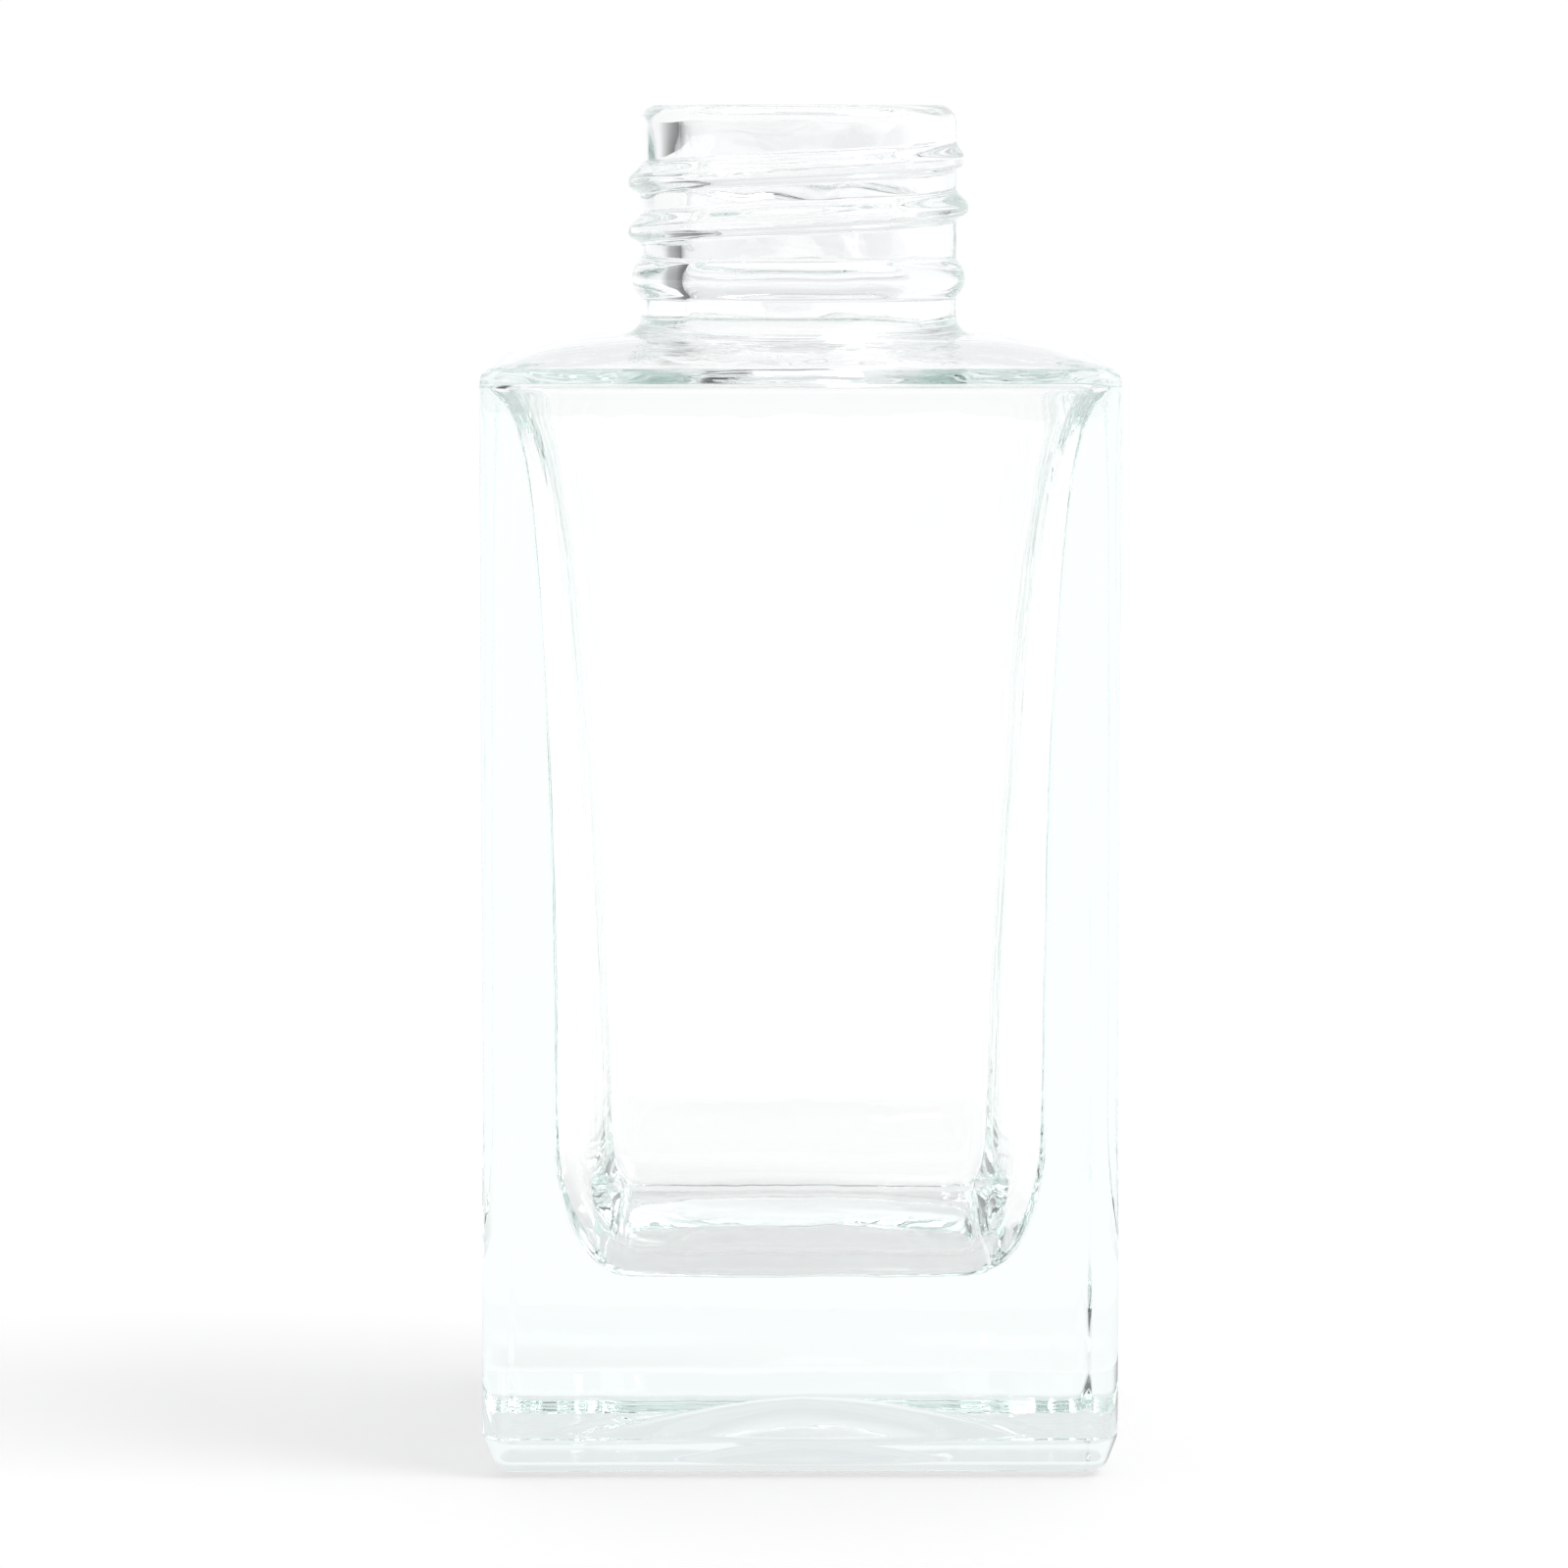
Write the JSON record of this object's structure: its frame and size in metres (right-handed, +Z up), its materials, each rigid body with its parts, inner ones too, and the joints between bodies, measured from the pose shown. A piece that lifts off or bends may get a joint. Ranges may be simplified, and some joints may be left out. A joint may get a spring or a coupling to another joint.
{
  "type": "aftershave bottle",
  "caption": "Square clear glass bottle with a thick base, a gently domed shoulder and a threaded neck with a transfer bead, open and empty.",
  "frame": {"origin": "centre of the base, on the plane the bottle stands on", "axes": "+Z up the neck's axis, -Y the front, +X to the right as seen from the front"},
  "size_m": [0.05, 0.05, 0.1074],
  "materials": {
    "clear_glass": "clear flint glass with a faint cool green tint, fire-polished outside, slightly wavy inside"
  },
  "bodies": {
    "root": {"base": "clear_glass", "bearing_ring": "clear_glass", "body_wall": "clear_glass", "shoulder": "clear_glass", "neck_tube": "clear_glass", "transfer_bead": "clear_glass", "thread": "clear_glass", "lip": "clear_glass"}
  },
  "joints": []
}
